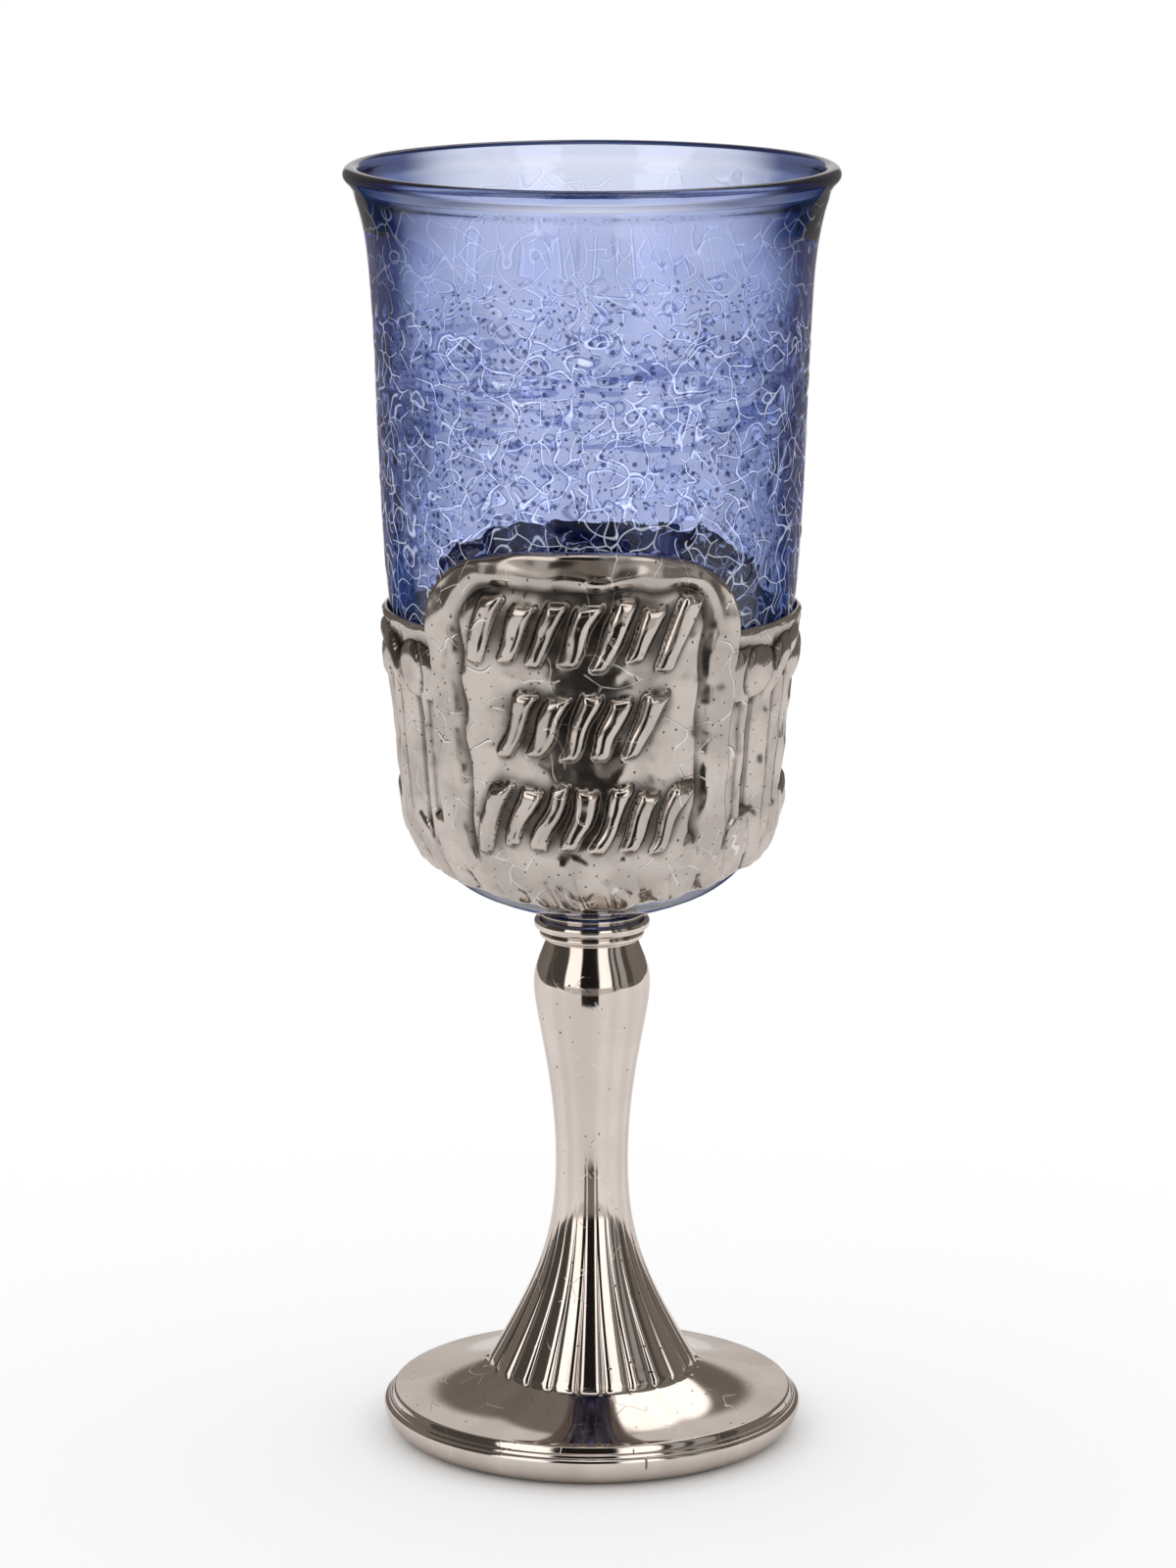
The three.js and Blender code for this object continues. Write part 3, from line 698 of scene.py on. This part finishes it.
def silver_material(name, carved):
    """Plated silver, mirror bright with a warm cast: hollows and the sleeve's inside darkened
    as painted shade, small pits painted dark as painted shade, fine raised hairlines painted pale as a
    painted highlight, upright streaks and slightly cloudy patches of polish. carved, 0 to 1, is how rough a
    piece is, how much of the pits and hairlines it has, and how far a painted shade darkens its colours."""
    material, n = new_material(name)
    skin = n.add("ShaderNodeUVMap", uv_map="skin").outputs[0]
    patina = n.add("ShaderNodeAttribute", attribute_name="patina").outputs["Fac"]
    hidden = n.add("ShaderNodeAttribute", attribute_name="hidden").outputs["Fac"]
    hairs = place_group(n, CRACKS, Skin=skin, Cell=5.4, Bend=1.2, Width=0.15, Share=0.34 + 0.16 * carved)
    hairs = n.math("MULTIPLY", hairs["Line"], 0.35 + 0.65 * carved)
    pit = place_group(n, PITS, Skin=skin, Pitch=1.9, Radius=0.16, Share=0.10 + 0.42 * carved)["Pit"]
    cloud = n.noise(n.vector("SCALE", skin, scale=1000.0), 0.11, 3.0).outputs["Fac"]
    place = n.add("ShaderNodeSeparateXYZ", {0: n.add("ShaderNodeTexCoord").outputs["Object"]}).outputs
    turn = n.math("ARCTAN2", place[0], n.math("MULTIPLY", place[1], -1.0))
    drawn = n.add("ShaderNodeCombineXYZ", {0: turn, 1: n.math("MULTIPLY", place[2], 3.0)}).outputs[0]
    streak = n.noise(drawn, 2.6, 1.0).outputs["Fac"]
    streak = n.step(streak, 0.40, 0.62, True, 0.0, 0.65 - 0.45 * carved)
    # painted shade on the carved sleeve: its colours darkened by up to 17 %
    carved_shade_share = 1.0 - 0.17 * carved
    colour = n.mix(n.step(cloud, 0.35, 0.65), shaded_by(SILVER, carved_shade_share), shaded_by(SILVER_CLOUDED, carved_shade_share * carved_shade_share))
    colour = n.mix(streak, colour, shaded_by(SILVER_STREAK, carved_shade_share))
    # painted highlight: the hairlines painted pale
    colour = n.mix(n.math("MULTIPLY", hairs, 0.6), colour, HAIRLINE_GLINT)
    # painted shade: the hollows and the inside darkened towards near black
    colour = n.mix(n.math("MULTIPLY", n.step(patina, 0.05, 1.0, False), 0.90), colour, HOLLOW_SHADE_DARK)
    # painted shade in the pits: painted near black
    colour = n.mix(n.math("MULTIPLY", pit, 0.85), colour, PIT_SHADE)
    # painted shade: the sleeve's inside painted dark blue, as it looks behind the glass
    colour = n.mix(n.math("MULTIPLY", hidden, 0.95), colour, INSIDE_SHADE_BLUE)
    rough = n.step(cloud, 0.3, 0.7, False, 0.05 + 0.06 * carved, 0.10 + 0.09 * carved)
    rough = n.math("ADD", rough, n.math("MULTIPLY", patina, 0.14))
    rough = n.math("ADD", rough, n.math("MULTIPLY", hidden, 0.3), clamp=True)
    relief = n.math("SUBTRACT", n.math("MULTIPLY", hairs, 0.7), pit)
    bump = n.add("ShaderNodeBump", {"Height": relief, "Strength": 1.0, "Distance": 0.00004})
    shader = n.add("ShaderNodeBsdfPrincipled", {"Base Color": colour, "Metallic": 1.0, "Roughness": rough,
                                                "Specular Tint": (0.80, 0.77, 0.75, 1),
                                                "Normal": bump.outputs[0]})
    n.add("ShaderNodeOutputMaterial", {"Surface": shader.outputs[0]})
    return material


def glass_material():
    """Clear blue glass, coloured by absorption through its thickness. Its outside has
    cracks and swirls drawn as glowing light lines, a painted highlight, with painted shadow along their
    sides, and pinholes and ringed bubbles darkened as painted shade, close together in the belt above the
    sleeve and faint below the rim, and level streaks. Its edges, the band under the rim and the rim's roll
    are tinted darker where seen at a slant, as painted shade. The inside's skin coordinates lie higher than
    all of these, so the marks stay off it."""
    material, n = new_material("blue_glass")
    skin = n.add("ShaderNodeUVMap", uv_map="skin").outputs[0]
    large = n.vector("SCALE", skin, scale=1000.0)
    height = n.add("ShaderNodeSeparateXYZ", {0: large}).outputs[1]
    cloud = n.noise(n.vector("MULTIPLY", large, (0.35, 1.0, 1.0)), 0.11, 1.0).outputs["Fac"]
    edge = n.math("ADD", height, n.step(cloud, 0.3, 0.7, False, -2.5, 2.5))
    belt = n.step(edge, 167.5, 163.5)
    faint = n.step(edge, 181.5, 177.0)
    amount = n.math("ADD", n.math("MULTIPLY", belt, 0.65), n.math("MULTIPLY", faint, 0.35))
    amount = n.math("MULTIPLY", amount, n.step(height, 94.0, 104.0))
    one = place_group(n, CRACKS, Skin=skin, Cell=4.0, Bend=0.75, Width=0.15, Share=0.74)
    two = place_group(n, SWIRLS, Skin=skin, Shift=17.0, Size=6.4, Levels=6.0, Width=0.055, Share=0.66)
    # the crack and swirl lines glow as a painted highlight; the strips beside them get painted shadow
    lines = n.math("MULTIPLY", n.math("MAXIMUM", one["Line"], two["Line"]), amount)
    sides = n.math("MULTIPLY", n.math("MAXIMUM", one["Side"], two["Side"]), amount)
    small = place_group(n, PITS, Skin=skin, Shift=7.0, Pitch=1.4, Radius=0.34, Share=0.55)
    bubbles = place_group(n, PITS, Skin=skin, Shift=23.0, Pitch=4.4, Radius=0.80, Share=0.45)
    glass_pit_shade = n.math("MULTIPLY", small["Pit"], belt)
    rings = n.math("MULTIPLY", bubbles["Ring"], belt)
    drawn = n.noise(n.vector("MULTIPLY", large, (0.10, 0.60, 1.0)), 1.0, 1.0).outputs["Fac"]
    streak = n.math("MULTIPLY", n.step(drawn, 0.54, 0.64), n.between(edge, 146.0, 158.0, 2.5))
    facing = n.add("ShaderNodeLayerWeight", {"Blend": 0.5}).outputs["Facing"]
    top = n.add("ShaderNodeSeparateXYZ", {0: n.add("ShaderNodeTexCoord").outputs["Object"]}).outputs[2]
    # painted shade: the glass tinted darker where seen at a slant
    tint = n.mix(n.step(facing, 0.08, 0.55), (1, 1, 1, 1), (0.80, 0.86, 0.96, 1))
    tint = n.mix(n.math("MULTIPLY", belt, 0.45), tint, (0.68, 0.71, 0.78, 1))
    tint = n.mix(n.math("MULTIPLY", streak, 0.85), tint, (0.14, 0.20, 0.44, 1))
    # painted shadow along the side of each crack and swirl
    tint = n.mix(n.math("MULTIPLY", sides, 0.80), tint, (0.10, 0.14, 0.36, 1))
    # painted shade: pinholes and bubble outlines darkened
    tint = n.mix(n.math("MULTIPLY", glass_pit_shade, 0.95), tint, (0.01, 0.02, 0.08, 1))
    tint = n.mix(n.math("MULTIPLY", rings, 0.80), tint, (0.06, 0.10, 0.26, 1))
    # painted shade: a dark navy band below the rim, seen at a slant
    lip = n.step(top, (RIM_Z - 12.0) * MM, (RIM_Z - 5.0) * MM)
    lip = n.math("MULTIPLY", lip, n.step(facing, 0.14, 0.50))
    tint = n.mix(n.math("MULTIPLY", lip, n.step(facing, 0.98, 0.84)), tint, (0.04, 0.07, 0.20, 1))
    # painted shade: the rim's roll darkened near black
    roll = n.step(top, (RIM_Z - 2.3) * MM, (RIM_Z - 1.3) * MM)
    tint = n.mix(n.math("MULTIPLY", roll, n.step(facing, 0.20, 0.44)), tint, (0.02, 0.03, 0.09, 1))
    tint = n.mix(n.step(height, 93.0, 88.0), tint, (0.40, 0.40, 0.42, 1))
    # painted highlight: the lines glow pale
    line_glow = n.mix(lines, (0, 0, 0, 1), (0.34, 0.37, 0.43, 1))
    shader = n.add("ShaderNodeBsdfPrincipled", {
        "Base Color": tint, "Metallic": 0.0, "Roughness": 0.0, "IOR": 1.5, "Transmission Weight": 1.0,
        "Emission Color": line_glow, "Emission Strength": 1.0, "Specular IOR Level": 0.2})
    volume = n.add("ShaderNodeVolumeAbsorption", {"Color": (0.105, 0.27, 0.82, 1), "Density": 165.0})
    n.add("ShaderNodeOutputMaterial", {"Surface": shader.outputs[0], "Volume": volume.outputs[0]})
    return material


# ---- pieces --------------------------------------------------------------------------

glass, sleeve, stem = make_glass(), make_sleeve(), make_stem()
glass.data.materials.append(glass_material())
sleeve.data.materials.append(silver_material("silver_plate_carved", 1.0))
stem.data.materials.append(silver_material("silver_plate_turned", 0.0))
for piece, node, slot in ((glass, "glass_cup", "blue_glass"),
                          (sleeve, "silver_sleeve", "silver_plate"),
                          (stem, "stem_and_foot", "silver_plate")):
    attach(piece, "root")
    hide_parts(node)


# ---- floor, light and camera ---------------------------------------------------------

VIEW_TURN = 3.5  # azimuth of the camera in degrees; the backdrop faces it


def make_floor():
    """A plain white table top; its part behind the cup is painted dark blue, a painted shade
    seen only in the sharp glass's reflections. Its front edge is 0.265 m from the cup, with a narrow bay in
    the middle where the camera stands."""
    outline = [(-0.5, -0.265), (-0.08, -0.265), (-0.042, -0.135), (0.042, -0.135), (0.08, -0.265),
               (0.5, -0.265), (0.5, 0.46), (-0.5, 0.46)]
    mesh = bpy.data.meshes.new("table_top")
    mesh.from_pydata([(x, y, 0) for x, y in outline], [], [tuple(range(len(outline)))])
    table = bpy.data.objects.new("table_top", mesh)
    bpy.context.scene.collection.objects.link(table)
    material, n = new_material("white_table")
    ray = n.add("ShaderNodeLightPath").outputs
    back = n.add("ShaderNodeSeparateXYZ", {0: n.add("ShaderNodeTexCoord").outputs["Object"]}).outputs[1]
    # painted shade: dark blue behind the cup, only for sharp glossy reflections
    blue_shade_seen = n.math("MULTIPLY", ray["Is Singular Ray"], ray["Is Glossy Ray"])
    blue_shade_seen = n.math("MULTIPLY", blue_shade_seen, n.step(back, 0.05, 0.20))
    colour = n.mix(blue_shade_seen, (0.9, 0.9, 0.9, 1), (0.05, 0.08, 0.17, 1))
    shader = n.add("ShaderNodeBsdfDiffuse", {"Color": colour})
    n.add("ShaderNodeOutputMaterial", {"Surface": shader.outputs[0]})
    mesh.materials.append(material)


# The studio's brightness, by azimuth in degrees, in five zones from below upwards: the
# first number holds up to the first azimuth, and each pair's own from its azimuth on.
DIM = 0.22
BELOW = (DIM, (-52, 0.72), (-26, 0.02), (26, 0.70), (46, DIM))
LEVEL = (DIM, (-100, 0.12), (-52, 0.74), (-17, 0.25), (17, 0.72), (46, 0.10), (52, 0.45),
         (60, 0.12), (66, 0.40), (80, 0.15), (94, DIM))
UPPER = (DIM, (-100, 0.085), (-52, 1.75), (-20, 0.016), (19, 1.70), (44, 0.05), (50, 0.50),
         (58, 0.07), (64, 0.42), (78, 0.10), (94, DIM))
RAISED = (DIM, (-100, 0.085), (-58, 1.75), (-31, 0.016), (29, 1.70), (50, 0.10), (56, 0.50),
          (64, 0.07), (70, 0.42), (82, 0.10), (94, DIM))
HIGH = (DIM, (-52, 1.60), (46, DIM))
ZONES = ((LEVEL, -16.0, -14.0), (UPPER, -3.0, -1.0), (RAISED, 36.0, 48.0), (HIGH, 62.0, 65.0))


def bands(n, azimuth, areas):
    """One zone's colours round the studio, with edges 2 degrees wide; dim areas are brown."""
    first, *rest = areas
    values = [first] + [value for _, value in rest]
    colours = [(v, v * (0.985 if v > 0.4 else 0.91), v * (0.965 if v > 0.4 else 0.83), 1) for v in values]
    node = n.add("ShaderNodeValToRGB", {"Fac": n.step(azimuth, -180.0, 180.0, False)})
    stops = node.color_ramp.elements
    stops[0].position, stops[0].color = 0.0, colours[0]
    stops[1].position, stops[1].color = 1.0, colours[-1]
    for (start, _), before, after in zip(rest, colours, colours[1:]):
        stops.new((start + 179) / 360).color = before
        stops.new((start + 181) / 360).color = after
    return node.outputs["Color"]


def make_studio():
    """The light, given by direction: a white room for the eye and for the table; seen
    through glass, the same with dark wings beside the backdrop and dark overhead; for
    reflections a dim studio with tall softboxes and a narrow white backdrop."""
    world = bpy.data.worlds.new("studio")
    bpy.context.scene.world = world
    world.use_nodes = True
    world.cycles.sampling_method = "NONE"
    n = Nodes(world.node_tree)
    way = n.add("ShaderNodeSeparateXYZ", {0: n.add("ShaderNodeTexCoord").outputs["Generated"]}).outputs
    degrees = 180 / math.pi
    azimuth = n.math("MULTIPLY", n.math("ARCTAN2", way[0], n.math("MULTIPLY", way[1], -1.0)), degrees)
    height = n.math("MULTIPLY", n.math("ARCSINE", way[2]), degrees)
    turned = n.math("ABSOLUTE", n.math("SUBTRACT", azimuth, VIEW_TURN))
    behind = n.math("ABSOLUTE", n.math("SUBTRACT", 180.0, turned))
    light = bands(n, azimuth, BELOW)
    for areas, start, stop in ZONES:
        light = n.mix(n.step(height, start, stop), light, bands(n, azimuth, areas))
    # a tall softbox behind on the right, its lower edge falling away from the middle
    lower = n.math("ADD", height, n.math("MULTIPLY", n.math("SUBTRACT", 183.5, azimuth), 0.7))
    rear = n.math("MULTIPLY", n.between(azimuth, 161.0, 179.0, 1.5), n.step(lower, 43.5, 46.5))
    light = n.mix(n.math("MULTIPLY", rear, n.step(height, 67.0, 64.0)), light, (1.90, 1.87, 1.83, 1))
    backdrop = n.math("MULTIPLY", n.step(behind, 13.0, 10.0), n.step(height, 42.0, 39.0))
    light = n.mix(backdrop, light, (0.82, 0.81, 0.80, 1))
    ray = n.add("ShaderNodeLightPath").outputs
    wing = n.math("MULTIPLY", n.step(behind, 1.0, 23.0, False), n.step(behind, 60.0, 45.0))
    wing = n.math("MAXIMUM", wing, n.step(height, 30.0, 40.0))
    wing = n.math("MULTIPLY", wing, n.math("GREATER_THAN", ray["Transmission Depth"], 0.5))
    seen = n.mix(wing, (1.0, 1.0, 1.0, 1), (0.03, 0.045, 0.09, 1))
    blue = n.add("ShaderNodeMix", {0: 1.0, 6: light, 7: (0.30, 0.40, 0.80, 1)},
                 data_type="RGBA", blend_type="MULTIPLY").outputs[2]
    light = n.mix(n.math("GREATER_THAN", ray["Transmission Depth"], 0.5), light, blue)
    seen = n.mix(n.math("GREATER_THAN", ray["Glossy Depth"], 0.5), seen, light)
    soft = n.math("ADD", 1.13, n.math("MULTIPLY", way[1], 0.50))
    soft = n.add("ShaderNodeCombineXYZ", {0: soft, 1: soft, 2: soft}).outputs[0]
    seen = n.mix(ray["Is Diffuse Ray"], seen, soft)
    background = n.add("ShaderNodeBackground", {"Color": seen, "Strength": 1.0})
    n.add("ShaderNodeOutputWorld", {"Surface": background.outputs[0]})


def make_camera():
    """A long lens, a little above the cup and turned a few degrees round from its front."""
    turn, drop = math.radians(VIEW_TURN), math.radians(12.3)
    reach, height, aside = 0.793, 0.2688, 0.00056
    data = bpy.data.cameras.new("view")
    data.lens = 130
    data.sensor_width = 36
    data.clip_start, data.clip_end = 0.01, 20
    camera = bpy.data.objects.new("view", data)
    bpy.context.scene.collection.objects.link(camera)
    side = Vector((math.cos(turn), math.sin(turn), 0))
    camera.location = (reach * math.sin(turn), -reach * math.cos(turn), height)
    aim = Vector((0, 0, height - reach * math.tan(drop))) - side * aside
    camera.rotation_mode = "QUATERNION"
    camera.rotation_quaternion = (aim - camera.location).to_track_quat("-Z", "Y")
    bpy.context.scene.camera = camera


make_floor()
make_studio()
make_camera()
bpy.context.scene.view_settings.view_transform = "Standard"
